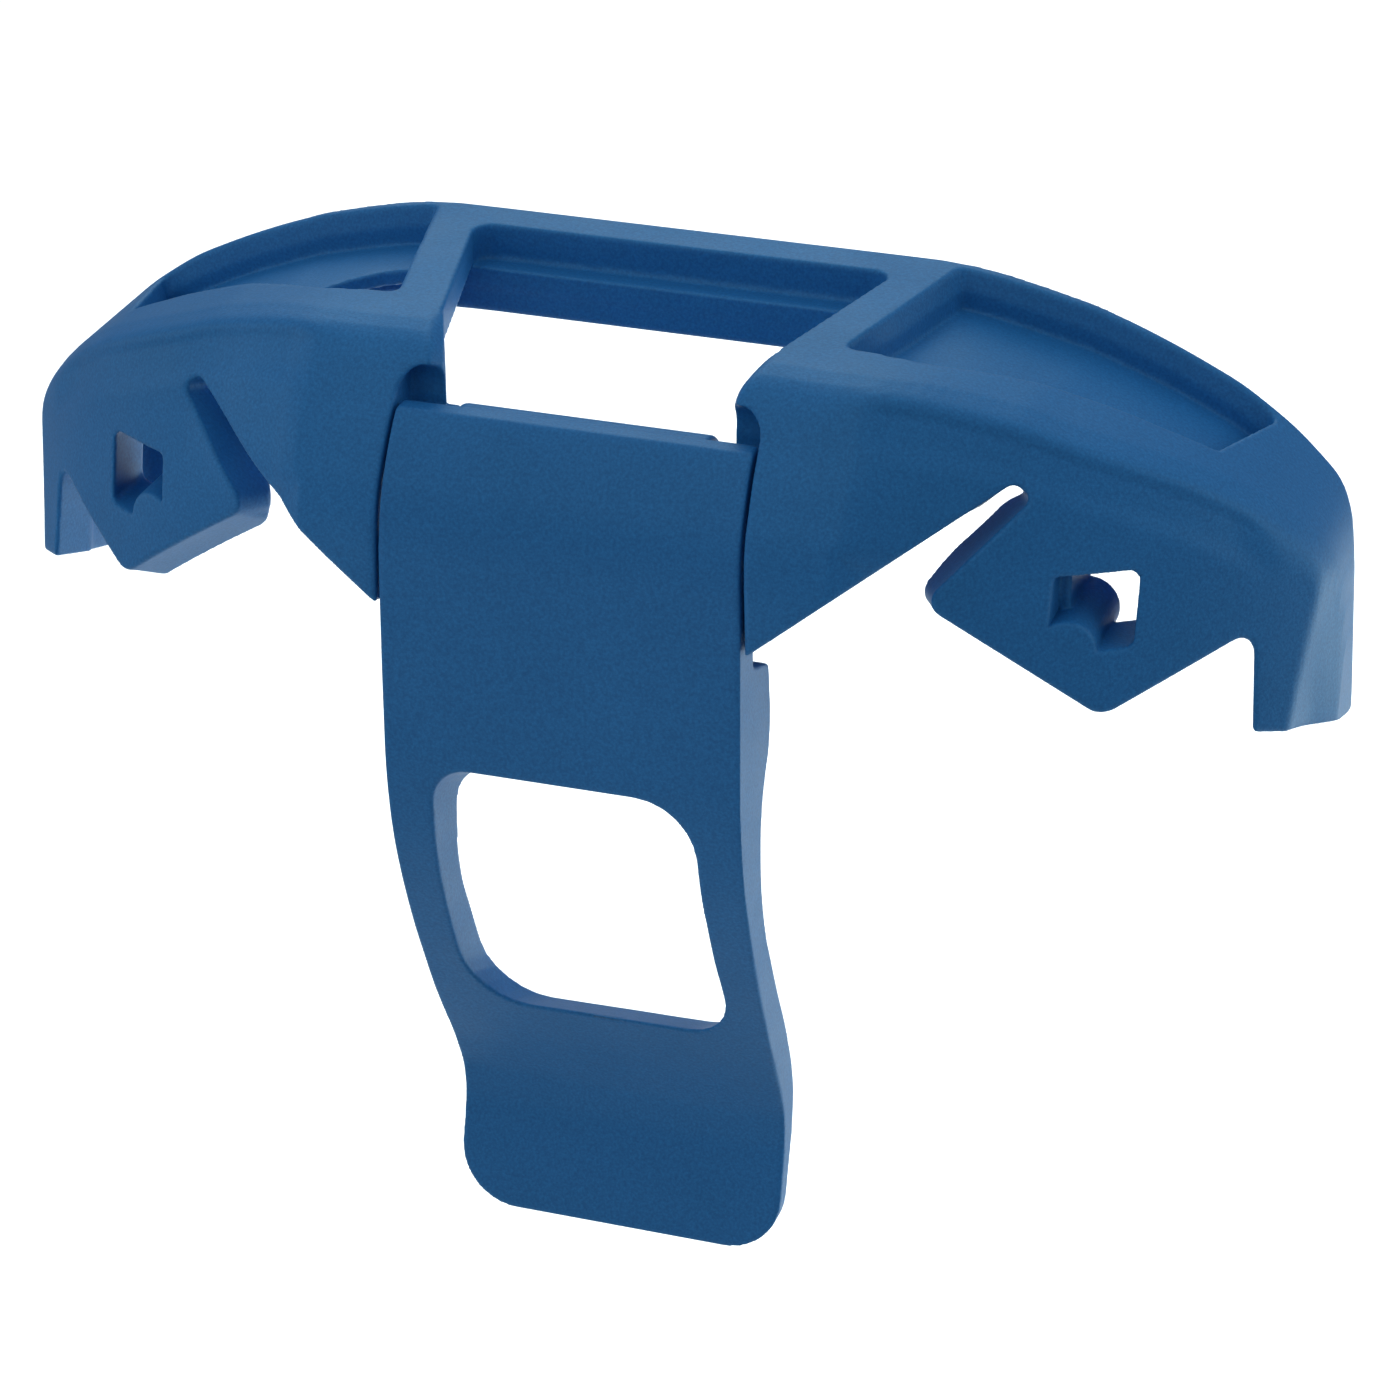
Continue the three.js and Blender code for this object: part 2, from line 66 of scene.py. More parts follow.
# ------------------------------------------------------------------ dimensions, mm
TOP_Z, GAP_HALF, EAR_IN_X, EAR_FACE_Y = 37.2, 30.0, 23.3, 15.6
HINGE_Y, HINGE_Z, PIN_R, PIN_HALF, PIN_BORE_R = 12.6, 19.0, 2.0, 28.4, 2.3
EAR_R, KNUCKLE_R, KNUCKLE_HALF = 5.4, 7.6, 20.4
FLOOR_DROP, FLOOR_T, GRIP_H, SKIN_T, TAB_T = 6.6, 2.6, 13.7, 4.2, 11.6
OPEN_BACK_Y, GRIP_FRONT_Y, POST_R, POST_Y = 60.7, 56.4, 4.8, 35.0
LEVER_HALF, LEVER_SKIN, LEVER_WALL, HOLE_SLANT = 29.4, 3.0, 3.0, -0.42

ARCH = [[-60, 37.2], [0, 37.2], [30, 37.2], [40, 37.15], [45, 36.85], [50, 36.1], [57, 34.4], [62.5, 32.8], [65.5, 31.9], [70.6, 29.9],
        [75.6, 27.9], [80.5, 25.8], [85.2, 23.6], [89.9, 21.2], [94.6, 18.1], [99, 14.8], [103, 11.1],
        [106.1, 7.8], [108.3, 4.6], [109.8, 1.0], [110.8, -3.5], [111.4, -10.0], [112.0, -18.0], [112.5, -40.0], [113.5, -90.0]]
DOME = [[0, 15.3], [3.6, 12.7], [6, 11.0], [9.3, 8.7], [11.9, 6.6], [14.6, 4.8], [17.5, 3.2],
        [20.4, 1.7], [23.5, 0.75], [27, 0.2], [31, 0], [90, 0]]
SWEEP = [[0, 0], [12, -1.0], [30, -2.2], [37, -3.6], [43, -4.6], [46, -4.4], [49, -3.8], [52, -3.3], [55, -2.8],
         [58, -2.1], [61, -1.2], [65, -0.3], [69, 0], [120, 0]]
DOME_GAIN = [[0, 1], [30, 1], [40, 0.82], [50, 0.5], [60, 0.27], [66, 0.17], [75, 0.08], [85, 0.03], [95, 0], [120, 0]]
BAND = [[0, 0], [0.6, 0], [1.8, 0.75], [3.4, 1.8], [6, 1.25], [9.6, 0], [120, 0]]
ROUND = [[0, 0.80], [0.4, 0.56], [0.9, 0.36], [1.8, 0.16], [3.2, 0.04], [4.4, 0], [90, 0]]


def pchip(table, v):
    """monotone smooth curve through a table"""
    t = np.asarray(table, float)
    x, y = t[:, 0], t[:, 1]
    h, d = np.diff(x), np.diff(y) / np.diff(x)
    m = np.zeros_like(y)
    for i in range(1, len(x) - 1):
        if d[i - 1] * d[i] > 0:
            w1, w2 = 2 * h[i] + h[i - 1], h[i] + 2 * h[i - 1]
            m[i] = (w1 + w2) / (w1 / d[i - 1] + w2 / d[i])
    m[0], m[-1] = d[0], d[-1]
    v = np.clip(v, x[0], x[-1])
    k = np.clip(np.searchsorted(x, v, side="right") - 1, 0, len(x) - 2)
    s = (v - x[k]) / h[k]
    return (y[k] * (1 + 2 * s) * (1 - s) ** 2 + h[k] * m[k] * s * (1 - s) ** 2
            + y[k + 1] * s * s * (3 - 2 * s) + h[k] * m[k + 1] * s * s * (s - 1))


def ease(a, b, v):
    k = np.clip((v - a) / (b - a), 0, 1)
    return k * k * (3 - 2 * k)


def arch_z(x):
    return pchip(ARCH, np.abs(x))


def front_y(x, z):
    a = np.minimum(np.abs(x), 112.0)
    q = a / 100
    near = np.maximum(ease(3, 18, z), 1 - ease(40, 56, a))
    base = 20.8 * q * q + 14.6 * q ** 4 + pchip(SWEEP, a) * near
    lean = 0.2 * ease(30, 60, a)
    d = np.maximum(0, arch_z(a) - z)
    gain = pchip(DOME_GAIN, a)
    roll = 4.7 + 2.3 * ease(30, 60, a)
    zz = np.maximum(z, -34)
    return (np.maximum(0, base) + lean * zz + gain * pchip(DOME, d)
            + roll * pchip(ROUND, d) * (1 - 0.25 * ease(98, 108, a))
            + pchip(BAND, d) * ease(38, 50, a) * (1 - ease(96, 104, a)))


def rmax(a, b, r):
    """both must hold; the edge where they meet is rounded with radius r"""
    if r <= 0:
        return np.maximum(a, b)
    return np.minimum(np.maximum(a, b), -r) + np.hypot(np.maximum(a + r, 0), np.maximum(b + r, 0))


def rmin(a, b, r):
    """either may hold; the inner corner is filled with radius r"""
    return -rmax(-a, -b, r)


def rounded(pts, seg=6):
    out, n = [], len(pts)
    for i in range(n):
        p, a, b = pts[i], pts[i - 1], pts[(i + 1) % n]
        r = p[2] if len(p) > 2 else 0
        if not r:
            out.append([p[0], p[1]])
            continue
        u, v = np.subtract(a[:2], p[:2]).astype(float), np.subtract(b[:2], p[:2]).astype(float)
        lu, lv = np.hypot(*u), np.hypot(*v)
        half = math.acos(max(-1, min(1, float(u @ v) / (lu * lv)))) / 2
        d = min(r / math.tan(half), lu * 0.49, lv * 0.49)
        rr = d * math.tan(half)
        p0, p1 = np.add(p[:2], u / lu * d), np.add(p[:2], v / lv * d)
        bis = u / lu + v / lv
        c = np.add(p[:2], bis / np.hypot(*bis) * rr / math.sin(half))
        a0, a1 = math.atan2(*(p0 - c)[::-1]), math.atan2(*(p1 - c)[::-1])
        da = (a1 - a0 + math.pi) % (2 * math.pi) - math.pi
        for k in range(seg + 1):
            t = a0 + da * k / seg
            out.append([c[0] + rr * math.cos(t), c[1] + rr * math.sin(t)])
    return out


def mirror(pts):
    return [[-p[0]] + list(p[1:]) for p in pts][::-1]


def poly2(pts, u, v):
    """signed distance to a polygon, negative inside"""
    p = np.asarray(pts, float)
    best = np.full(u.shape, 1e9)
    inside = np.zeros(u.shape, bool)
    for i in range(len(p)):
        a, b = p[i - 1], p[i]
        e = b - a
        l2 = e @ e
        if l2 < 1e-12:
            continue
        wu, wv = u - a[0], v - a[1]
        t = np.clip((wu * e[0] + wv * e[1]) / l2, 0, 1)
        best = np.minimum(best, (wu - e[0] * t) ** 2 + (wv - e[1] * t) ** 2)
        if a[1] != b[1]:
            cross = (a[1] > v) != (b[1] > v)
            inside ^= cross & (u < (b[0] - a[0]) * (v - a[1]) / (b[1] - a[1]) + a[0])
    best = np.sqrt(best)
    return np.where(inside, -best, best)


def sample2(pts, u, v, step=0.4):
    """signed distance to a polygon, looked up from a fine table"""
    u0, u1, v0, v1 = float(u.min()) - 1, float(u.max()) + 2, float(v.min()) - 1, float(v.max()) + 2
    gu, gv = np.arange(u0, u1 + step, step), np.arange(v0, v1 + step, step)
    tab = poly2(pts, *np.meshgrid(gu, gv, indexing="ij")).astype(np.float32)
    fu, fv = (u - u0) / step, (v - v0) / step
    iu, iv = fu.astype(np.int32), fv.astype(np.int32)
    fu, fv = (fu - iu).astype(np.float32), (fv - iv).astype(np.float32)
    return ((tab[iu, iv] * (1 - fu) + tab[iu + 1, iv] * fu) * (1 - fv)
            + (tab[iu, iv + 1] * (1 - fu) + tab[iu + 1, iv + 1] * fu) * fv)


def slope(f, h, axes):
    """a height field's equation turned into a distance near its surface"""
    g = np.gradient(f, h)
    return np.sqrt(sum(g[a] ** 2 for a in axes))


# ------------------------------------------------------------------ handle body, as a distance field
def body_field(h):
    nx, ny, nz = int(114.5 / h) + 2, int(73.5 / h) + 2, int(79 / h) + 2
    x = (np.arange(nx) + 0.5) * h            # right half, mirrored later
    y = -3.0 + np.arange(ny) * h
    z = -38.5 + np.arange(nz) * h
    X, Y, Z = (a.astype(np.float32) for a in np.meshgrid(x, y, z, indexing="ij", sparse=True))
    XZ = np.meshgrid(x, z, indexing="ij")
    XY = np.meshgrid(x, y, indexing="ij")

    fy = front_y(*XZ)
    gx, gz = np.gradient(fy, h, h)
    norm = np.sqrt(1 + np.minimum(gx ** 2 + gz ** 2, 49))
    front = ((fy[:, None, :] - Y) / norm[:, None, :]).astype(np.float32)
    az = arch_z(x)
    an = np.sqrt(1 + np.gradient(az, h) ** 2)
    an = np.minimum(an, 4)

    def above(drop):   # positive above the arch lowered by drop
        return (((Z - (az - drop)[:, None, None]) / an[:, None, None]) * np.ones_like(Y)).astype(np.float32)

    back = [[t, 68.7 + 3.3 * float(ease(40, 85, t))] for t in np.linspace(0, 104, 40)]
    plan = back + [[106, 71.85], [107.5, 71.5], [109.2, 70.5],
            [110.6, 68.6], [111.6, 65.5], [112.2, 62]]
    end_y = np.arange(60.0, 19.0, -1.0)
    end_x = pchip([[0, 105.0], [20, 105.0], [28, 106.0], [34, 106.8], [40, 107.7], [44.5, 108.8], [51, 111.0], [54, 111.85], [57, 112.25], [62, 112.2], [66, 111.5]], end_y)
    plan = plan + [[float(p), float(q)] for p, q in zip(end_x, end_y)] + [[105, -8], [-60, -8], [-60, 68.7]]
    back_part = ease(44, 54, Y)
    flare = back_part * 0.042 * (Z + 28) - (1 - back_part) * 0.03 * np.minimum(Z, 0)
    plan3 = sample2(plan, X + flare * ease(100, 107, X), Y + 0 * X + 0 * Z)
    shell = rmax(rmax(front, above(0), 0.8), plan3, 0.6)
    body = shell

    # hollow underneath
    a = XZ[0]
    thick = SKIN_T + (TAB_T - SKIN_T) * ease(50, 58, a) * (1 - ease(16, 22, XZ[1]))
    yf = np.maximum(fy + thick, np.where(a < 34, 25.0, 0.0))
    yb = GRIP_FRONT_Y + 6.0 * ease(42, 52, x) + 3.3 * ease(52, 85, x)
    hol = rmax((yf[:, None, :] - Y) / norm[:, None, :], (Y - yb[:, None, None]) * np.ones_like(Z), 0.8)
    hol = rmax(hol, above(FLOOR_DROP + FLOOR_T), 0.8)
    hol = rmax(hol, X - 100.6, 1.5)
    body = rmax(body, -hol, 0.4)

    # underside of the grip bar follows the arch
    under = rmax(np.maximum(44 - Y, X - 95.4), above(GRIP_H), 0.3)
    body = rmax(body, -under, 0.8)

    # centre opening, with a step below the top part at the back
    opening = rounded([[-27.2, 24.6, 0], [27.2, 24.6, 0], [35.6, OPEN_BACK_Y, 3], [-35.6, OPEN_BACK_Y, 3]])
    op2 = poly2(opening, *XY)[:, :, None].astype(np.float32)
    body = rmax(body, -np.maximum(op2, (TOP_Z - 6.0) - Z), 0.3)
    # thin line of flash along the foot of the opening's back wall
    flash = np.hypot(Y - (OPEN_BACK_Y - 0.05), Z - (TOP_Z - 5.95) - 0.12 * np.sin(X * 0.9) * np.sin(X * 0.23 + 1)) - 0.34
    body = rmin(body, np.maximum(flash, X - 33.5), 0.15)
    through = [[-26, 22], [26, 22], [38.5, 40], [40.5, GRIP_FRONT_Y], [-40.5, GRIP_FRONT_Y], [-38.5, 40]]
    th2 = poly2(through, *XY)[:, :, None].astype(np.float32)
    body = rmax(body, -np.maximum(th2, Z - (TOP_Z - 5.9)), 0.35)

    # top pockets
    pocket = rounded([[36.6, 29.2, 1.6], [44.4, 66.6, 1.4], [50, 66.8], [54, 67.1], [60, 67.8], [66, 68.6], [72, 69.2], [80, 69.7], [96.6, 69.8, 2.2], [91.4, 46.4, 2.2], [87, 44.6], [82.7, 43.0], [78.5, 41.9],
                      [74, 40.4], [69.5, 38.9], [65, 37.1], [60.5, 35.0], [56, 32.7], [52, 30.4], [48.5, 29.2], [44, 28.8]])
    pk2 = poly2(pocket, *XY)[:, :, None].astype(np.float32)
    depth = np.clip(-above(0), 0, 3.3)
    drafted = pk2 + 0.34 * depth * ease(34, 44, Y)          # upper half of the pocket walls leans back, lower half is upright
    pk = rmax(drafted, -above(FLOOR_DROP), 0.35)
    body = rmax(body, -pk, 0.5)

    # bay for the lever, the recess above it and the hinge ears
    bay = [[-GAP_HALF, -10], [GAP_HALF, -10], [GAP_HALF, EAR_FACE_Y], [EAR_IN_X, EAR_FACE_Y], [EAR_IN_X, 28],
           [-EAR_IN_X, 28], [-EAR_IN_X, EAR_FACE_Y], [-GAP_HALF, EAR_FACE_Y]]
    side = X - (GAP_HALF - 0.025 * Z)                           # the bay narrows a little towards the top
    bay3 = rmax(side + 0 * Y, (Y - EAR_FACE_Y - 0.3) + 0 * X + 0 * Z, 0.4)
    bay3 = rmax(bay3, Z - 32.8, 4.2)                            # the recess runs out upwards in a wide hollow fillet
    inner = rmax((X - EAR_IN_X) + 0 * Y, (Y - 28) + 0 * X, 0.3)
    bay3 = np.minimum(bay3, inner + 0 * Z)
    # the cheeks lean out above the recess, up to the opening
    cheek = pchip([[0, 23.3], [30.0, 23.3], [32.0, 23.6], [33.5, 24.1], [34.8, 24.8], [36.0, 25.8], [37.2, 27.2], [39, 29.4]], z)
    lean3 = (X - cheek[None, None, :] - 0.27 * np.clip(15.6 - Y, 0, 6) * ease(28.2, 30.2, Z)) / np.sqrt(1 + np.gradient(cheek, h) ** 2)[None, None, :]
    bay3 = np.minimum(bay3, np.maximum(lean3 + 0 * Y, np.maximum(Y - 25, 22.6 - Z)))
    body = rmax(body, -bay3, 0.6)
    body = np.maximum(body, -np.maximum(np.maximum(X - EAR_IN_X, 8 - Y), np.maximum(Y - GRIP_FRONT_Y, Z - 31.2)))
    YZ = np.meshgrid(y, z, indexing="ij")
    ear = [[HINGE_Y + EAR_R * math.cos(t), HINGE_Z + EAR_R * math.sin(t)] for t in (math.pi * (0.42 + 1.3 * k / 24) for k in range(25))]
    ear += [[EAR_FACE_Y + 4.5, HINGE_Z - 6.5], [EAR_FACE_Y + 4.5, 27], [EAR_FACE_Y + 0.7, 27], [EAR_FACE_Y + 0.7, HINGE_Z + 5.6]]
    ear3 = rmax(poly2(ear, *YZ)[None].astype(np.float32) * np.ones_like(X), np.maximum(EAR_IN_X - X, X - GAP_HALF - 1.2), 0.6)
    body = rmin(body, ear3, 0.8)
    wedge = poly2([[-EAR_IN_X, 8], [EAR_IN_X, 8], [EAR_IN_X, EAR_FACE_Y], [27.3, 25.0], [-27.3, 25.0], [-EAR_IN_X, EAR_FACE_Y]], *XY)[:, :, None]
    body = rmax(body, -np.maximum(wedge, 22.6 - Z), 0.35)

    # lower outline: wings, slots, tabs, notches
    cut = rounded([[66.4, 23.5, 1.6], [69.9, 21.1, 1.6], [55.5, 6.0, 2.6], [81.6, -13.1, 3.2], [118.0, 5.4, 0], [118.0, -64, 0], [54, -64, 0], [12, -64, 0], [12, -3.4, 0], [29.4, -3.4, 0]])
    sheared, steeper, straight = [], [], []
    fy_at = lambda px, pz: front_y(np.minimum(px, 108.0), pz)
    c = np.array([p[:2] for p in cut], float)
    cy = fy_at(c[:, 0], c[:, 1])
    flat = np.stack([c[:, 0] + 0.29 * cy, c[:, 1] + 0.5 * cy], 1)      # edges are straight when seen along this slope
    for i in range(len(flat)):
        p, q = flat[i], flat[(i + 1) % len(flat)]
        n = max(1, math.ceil(np.hypot(*(q - p)) / 1.5))
        t = np.arange(n) / n
        u, w = p[0] + (q[0] - p[0]) * t, p[1] + (q[1] - p[1]) * t
        yy = np.full(n, 10.0)
        for _ in range(40):
            yy = 0.4 * yy + 0.6 * fy_at(u - 0.29 * yy, w - 0.5 * yy)
        sheared += [[float(a), float(b)] for a, b in zip(u + 0.21 * yy, w - 0.27 * yy)]
        steeper += [[float(a), float(b)] for a, b in zip(u - 0.04 * yy, w + 0.02 * yy)]
        straight += [[float(a), float(b)] for a, b in zip(u, w)]
    cut3 = sample2(sheared, X + 0.5 * Y + 0 * Z, Z + 0.23 * Y + 0 * X) * 0.93
    steep = sample2(steeper, X + 0.25 * Y + 0 * Z, Z + 0.52 * Y + 0 * X)
    level = sample2(straight, X + 0.29 * Y + 0 * Z, Z + 0.5 * Y + 0 * X)
    steep = np.where(X < 60, np.minimum(steep, level), steep)
    cut3 = rmax(cut3, steep * 0.9, 0.5)
    foot_side = (X + 0.2 * Y + 0.037 * (Z + 12) - 108.3) / 1.02      # the foot's inner side, in line with the front
    cut3 = rmax(cut3, foot_side, 3.4)
    cut3 = np.maximum(cut3, Y - 50)
    body = rmax(body, -cut3, 0.5)

    # feet
    foot = ((-19.5 - (Y - 30) * 0.32) - Z) / 1.05
    body = rmax(body, np.where(X > 90, foot, -50) + 0 * body, 0.8)

    # square tab hole with its round post
    hole = rounded([[73.2, -3.0, 0.6], [84.9, -3.2, 1.2], [85.0, 8.8, 1.8], [73.3, 9.0, 0.8]])
    ho2 = poly2(hole, *XZ)[:, None, :]
    body = rmax(body, -np.maximum(ho2, np.maximum(2 - Y, Y - 60)), 0.35)
    post = rmax(np.hypot(X - 75.2, Z + 2.9) - POST_R + 0 * Y, (Y - POST_Y) + 0 * X + 0 * Z, 0.5)
    rib = np.maximum(np.maximum(70.4 - X, X - 75.0), np.maximum(np.maximum(22 - Y, Y - POST_Y), np.maximum(-4 - Z, Z - 10)))
    body = np.minimum(body, rmax(rmax(np.minimum(post, rib), shell, 0.3), -cut3, 0.3))

    # pin bore
    bore = np.maximum(np.hypot(Y - HINGE_Y, Z - HINGE_Z) - PIN_BORE_R, X - PIN_HALF - 0.4)
    body = np.maximum(body, -bore)

    full = np.concatenate([body[::-1], body], axis=0).astype(np.float32)
    xs = np.concatenate([-x[::-1], x])
    # the left pocket's floor is open at its inner front corner
    gap2 = rounded([[-58.5, 36.5, 1], [-39.2, 31.5, 2], [-41.8, 54.6, 2], [-49, 53.0], [-54, 50.6], [-58.5, 47.4, 1]])
    lo = poly2(gap2, *np.meshgrid(xs, y, indexing="ij"))[:, :, None]
    zz = z[None, None, :]
    full = rmax(full, -np.maximum(lo, np.maximum(15 - zz, zz - 60)), 0.4).astype(np.float32)
    return full, np.array([xs[0], y[0], z[0]])


# ------------------------------------------------------------------ latch lever
FRONT = [[28.4, 9.3], [27.2, 8.2], [25.3, 6.6], [22.6, 4.8], [19.7, 3.2], [16.8, 1.8], [13.7, 0.8], [10.3, 0.25], [6.5, 0.02], [0, 0.0], [-14, 0], [-27.5, 0.02],
         [-33.2, 0.35], [-39.1, 1.1], [-45.1, 2.3], [-51.9, 4.3], [-58.9, 6.8], [-66, 9.7], [-73.4, 13.1], [-81.1, 16.8], [-88.9, 20.8],
         [-96.5, 24.6], [-102.5, 26.7], [-107.5, 27.0], [-111.5, 26.5], [-119, 25.2], [-127.5, 23.8], [-135, 22.5]]
BACK = [[-135, 24.0], [-127.5, 27.0], [-114.5, 30.1], [-106, 31.8], [-100, 32.0], [-93.7, 30.7], [-84.5, 26.8], [-75, 21.9], [-65.3, 17.2], [-56.5, 13.3],
        [-48, 11.3], [-41, 10.8], [-34, 11.6], [-29.4, 13.2], [-25.7, 14.8], [-20.4, 15.5], [-14.6, 15.1], [-11.2, 14.6], [-7.4, 6.9], [-3.4, 6.8], [-1.0, 3.0],
        [6.5, 3.0], [10.6, 3.3], [13.4, 3.9], [16.0, 4.8], [18.6, 6.1], [21.2, 7.6], [23.8, 9.3], [26.3, 11.1], [30, 13.6]]


def lever_front(z):
    return pchip(FRONT[::-1], z)


def lever_back(z):
    return pchip(BACK, z)


def lever_field(h):
    x = np.arange(-31.0, 31.2, h)
    y = np.arange(-2.0, 34.6, h)
    z = np.arange(-129.5, 30.6, h)
    X, Y, Z = (a.astype(np.float32) for a in np.meshgrid(x, y, z, indexing="ij", sparse=True))
    XZ = np.meshgrid(x, z, indexing="ij")
    YZ = np.meshgrid(y, z, indexing="ij")
    f, b = lever_front(z), lever_back(z)
    nf, nb = np.sqrt(1 + np.gradient(f, h) ** 2), np.sqrt(1 + np.minimum(np.gradient(b, h) ** 2, 9))
    fr = (f - YZ[0]) / nf
    bk = (YZ[0] - b) / nb
    prof = rmax(rmax(fr, bk, 0.35), np.maximum(YZ[1] - 27.2, -127.5 - YZ[1]), 0.4)
    outline = rounded([[-28.5, 40, 0], [-LEVER_HALF, 0, 0], [-30.0, -40, 0], [-29.6, -80, 0], [-28.6, -106, 0], [-29.0, -127.5, 11],
                       [28.1, -127.4, 18], [28.4, -108, 0], [29.0, -80, 0], [29.6, -40, 0], [LEVER_HALF, 0, 0], [28.5, 40, 0]], 10)
    sil = poly2(outline, *XZ)[:, None, :].astype(np.float32)
    lev = rmax(prof[None].astype(np.float32) * np.ones_like(X), sil * np.ones_like(Y), 0.4)

    # hollow back
    zc = ease(-13.5, -15.0, z)
    core = (f + LEVER_SKIN * nf - YZ[0]) / nf
    core3 = rmax(core[None] * np.ones_like(X), poly2(rounded([[-26.4, -13.5, 2], [-25.2, -94.5, 5], [25.2, -94.5, 5], [26.4, -13.5, 2]]), *XZ)[:, None, :], 1.0)
    wall = rounded([[-24.6, -26.8, 10], [25.1, -26.6, 12], [25.3, -50, 9], [25.9, -76.2, 7], [-26.6, -76.4, 12], [-26.2, -50, 9]])
    slanted = Z - HOLE_SLANT * Y + 0 * X
    wall3 = sample2(wall, X + 0 * slanted, slanted)
    core3 = rmax(core3, -wall3, 0.8)
    lev = rmax(lev, -core3, 0.6)

    finger = rounded([[-21.6, -30.2, 6.5], [21.6, -30.0, 15], [21.9, -50, 8], [22.4, -73.9, 8.0], [-23.6, -74.9, 9.5], [-22.8, -50, 9]])
    lev = rmax(lev, -sample2(finger, X - 0.04 * Y + 0 * slanted, slanted), 0.35)

    kn = [[HINGE_Y + KNUCKLE_R * math.cos(t), HINGE_Z + KNUCKLE_R * math.sin(t)] for t in (math.pi * (0.62 - 1.22 * k / 30) for k in range(31))]
    kn += [[2.2, 8.0], [2.2, 16.0], [8.4, 26.0], [8.8, 26.7], [10.4, 26.5]]
    kn3 = rmax(poly2(kn, *YZ)[None].astype(np.float32) * np.ones_like(X), np.abs(X) - KNUCKLE_HALF, 0.7)
    rib = np.maximum(np.maximum(26.4 - np.abs(X), np.abs(X) - 29.1), np.maximum(np.maximum(1.5 - Y, Y - 6.8), np.maximum(-5.0 - Z, Z - 6.0)))
    lev = rmin(lev, rib, 0.4)
    # keep the knuckle behind the outer face
    kn3 = np.maximum(kn3, (fr[None] + 0.4))
    lev = rmin(lev, kn3, 0.8)
    lev = np.maximum(lev, -(np.hypot(Y - HINGE_Y, Z - HINGE_Z) - PIN_BORE_R + 0 * X))
    return lev.astype(np.float32), np.array([x[0], y[0], z[0]])


# ------------------------------------------------------------------ surface from a field
def surface_net(f, origin, h):
    """closed quad mesh where f is zero, one vertex in each cell the surface crosses, moved onto the surface"""
    nx, ny, nz = f.shape
    neg = f < 0
    c = [neg[i:nx - 1 + i, j:ny - 1 + j, k:nz - 1 + k] for i in (0, 1) for j in (0, 1) for k in (0, 1)]
    count = sum(a.astype(np.int8) for a in c)
    act = (count > 0) & (count < 8)
    idx = np.full(act.shape, -1, np.int64)
    cells = np.argwhere(act)
    idx[act] = np.arange(len(cells))
    total = np.zeros((len(cells), 3))
    hits = np.zeros(len(cells))
    i, j, k = cells.T
    corner = {(a, b, d): f[i + a, j + b, k + d].astype(float) for a in (0, 1) for b in (0, 1) for d in (0, 1)}
    for axis in range(3):
        for p in (0, 1):
            for q in (0, 1):
                lo = [0, 0, 0]
                others = [n for n in range(3) if n != axis]
                lo[others[0]], lo[others[1]] = p, q
                hi = list(lo)
                hi[axis] = 1
                a, b = corner[tuple(lo)], corner[tuple(hi)]
                cross = (a < 0) != (b < 0)
                t = np.where(cross, a / np.where(cross, a - b, 1), 0)
                pos = np.zeros((len(cells), 3))
                pos[:, others[0]], pos[:, others[1]] = p, q
                pos[:, axis] = t
                total += pos * cross[:, None]
                hits += cross
    v = cells + total / hits[:, None]

    def tri(pts):
        g = np.clip(pts, 0, np.array(f.shape) - 1.001)
        b = g.astype(int)
        w = g - b
        out = 0
        for a in (0, 1):
            for e in (0, 1):
                for d in (0, 1):
                    out = out + f[b[:, 0] + a, b[:, 1] + e, b[:, 2] + d] * (
                        (w[:, 0] if a else 1 - w[:, 0]) * (w[:, 1] if e else 1 - w[:, 1]) * (w[:, 2] if d else 1 - w[:, 2]))
        return out

    base = v.copy()
    for _ in range(3):
        val = tri(v)
        g = np.stack([tri(v + np.eye(3)[n] * 0.5) - tri(v - np.eye(3)[n] * 0.5) for n in range(3)], 1)
        l2 = (g ** 2).sum(1)
        step = np.where(l2 > 1e-4, val / np.maximum(l2, 1e-4), 0)
        v = v - np.clip(step, -0.5, 0.5)[:, None] * g * 0.9
        v = np.clip(v, base - 0.55, base + 0.55)
    quads = []
    for axis in range(3):
        a = [slice(None)] * 3
        b = [slice(None)] * 3
        a[axis], b[axis] = slice(0, -1), slice(1, None)
        n0, n1 = neg[tuple(a)], neg[tuple(b)]
        e = np.argwhere(n0 != n1)
        ok = np.ones(len(e), bool)
        o = [n for n in range(3) if n != axis]
        for n in o:
            ok &= (e[:, n] > 0) & (e[:, n] < f.shape[n] - 1)
        e = e[ok]
        flip = n0[e[:, 0], e[:, 1], e[:, 2]]
        q = []
        for d in ((0, 0), (1, 0), (1, 1), (0, 1)):
            s = e.copy()
            s[:, o[0]] -= 1 - d[0]
            s[:, o[1]] -= 1 - d[1]
            q.append(idx[s[:, 0], s[:, 1], s[:, 2]])
        q = np.stack(q, 1)
        if axis == 1:
            flip = ~flip
        q[~flip] = q[~flip][:, ::-1]
        quads.append(q)
    return v * h + origin, np.concatenate(quads)


def as_object(name, verts, faces, limits):
    v = (verts + OFF) / 1000
    lo, hi = np.array(limits[0]), np.array(limits[1])
    v = np.clip(v, lo + 2e-6, hi - 2e-6)
    me = bpy.data.meshes.new(name)
    me.vertices.add(len(v))
    me.vertices.foreach_set("co", v.astype(np.float32).ravel())
    me.loops.add(faces.size)
    me.loops.foreach_set("vertex_index", faces.astype(np.int32).ravel())
    me.polygons.add(len(faces))
    me.polygons.foreach_set("loop_start", np.arange(0, faces.size, faces.shape[1], dtype=np.int32))
    me.polygons.foreach_set("use_smooth", np.ones(len(faces), bool))
    me.update(calc_edges=True)
    me.validate()
    o = bpy.data.objects.new(name, me)
    bpy.context.scene.collection.objects.link(o)
    return o


